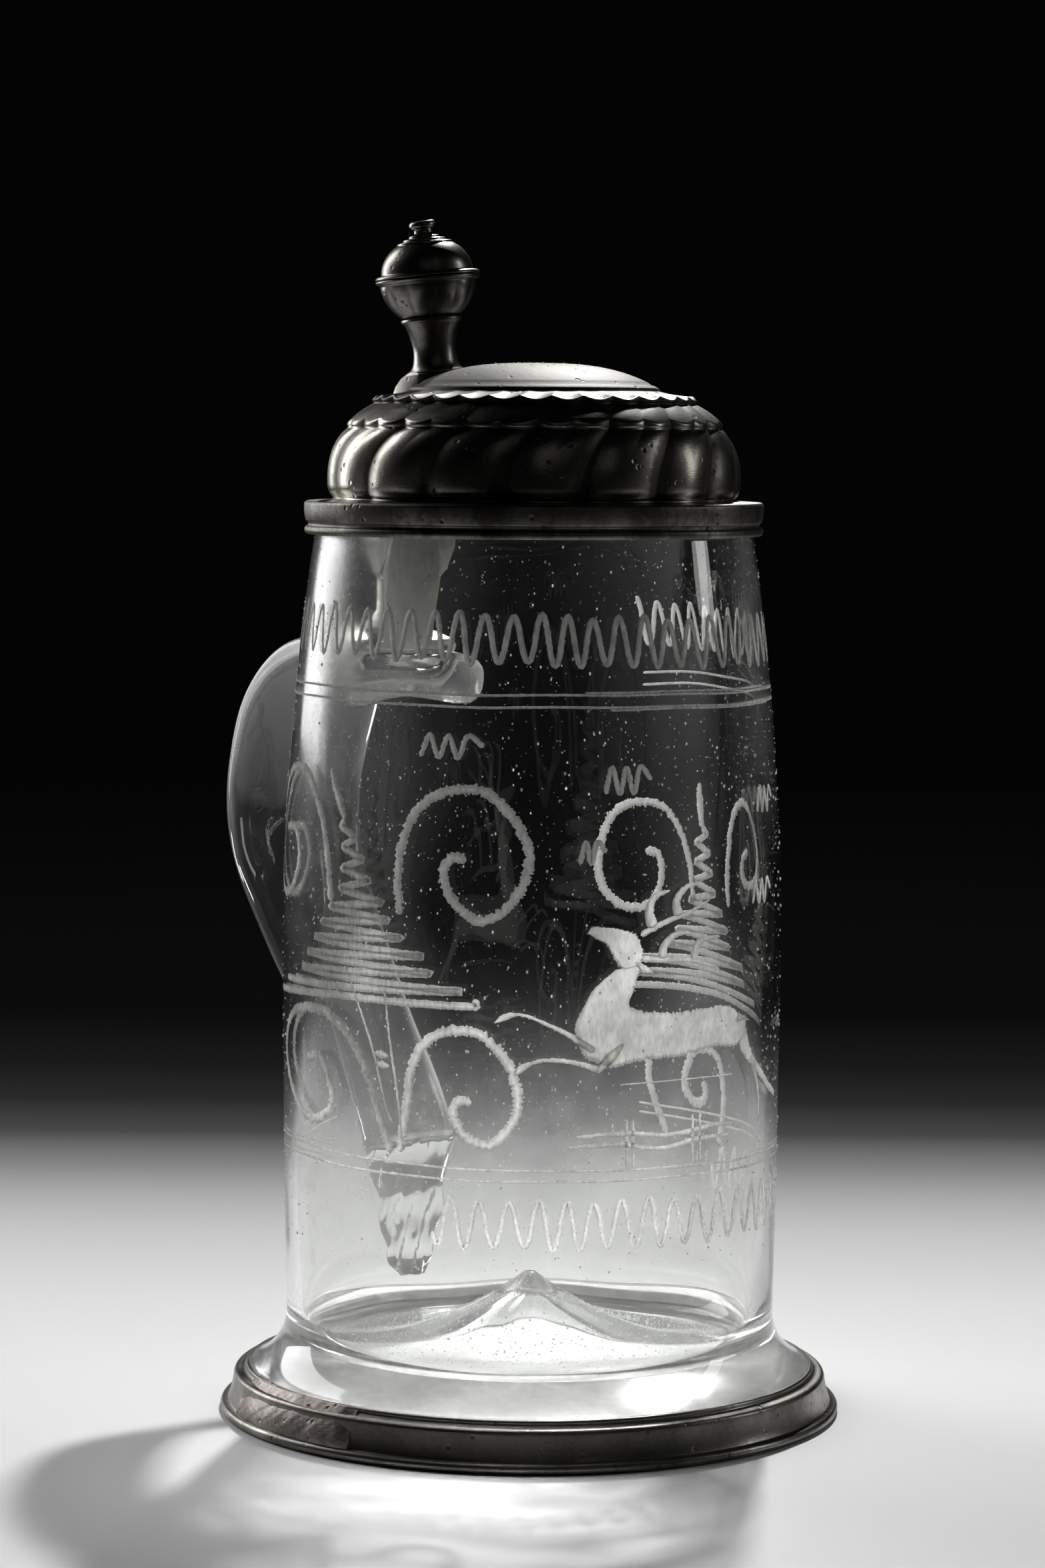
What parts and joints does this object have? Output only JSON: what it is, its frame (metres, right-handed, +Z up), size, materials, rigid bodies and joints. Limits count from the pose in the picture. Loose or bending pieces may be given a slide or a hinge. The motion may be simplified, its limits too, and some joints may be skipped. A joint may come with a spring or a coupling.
{
  "type": "lidded tankard",
  "caption": "Lidded drinking tankard: engraved glass body with a strap handle, cast lobed lid hinged over the handle with a ball thumbpiece, and a metal foot ring.",
  "frame": {"origin": "middle of the footprint, handle included, on the surface that the foot ring stands on", "axes": "+Z up, +Y towards the handle and hinge, -Y towards the side away from the handle"},
  "size_m": [0.1244, 0.1574, 0.2395],
  "materials": {
    "glass": "clear, faintly grey-green, polished by wear",
    "pewter": "old grey-brown pewter, satin, brighter on worn edges",
    "solder": "rough grey solder"
  },
  "bodies": {
    "vessel": {"glass_body": "glass", "glass_handle": "glass", "foot_ring": "pewter", "foot_ring_solder": "solder", "handle_collar": "pewter", "hinge_strap": "pewter", "hinge_pin": "pewter"},
    "lid": {"lid": "pewter", "lid_arm": "pewter", "thumbpiece_stem": "pewter", "thumbpiece_lower_half": "pewter", "thumbpiece_upper_half": "pewter", "thumbpiece_knop": "pewter"}
  },
  "joints": [
    {"name": "lid_hinge", "type": "hinge", "parent": "vessel", "child": "lid", "pos_m": [0, 0.03405, 0.1775], "axis": [-1, 0, 0], "range_deg": [0, 100]}
  ]
}
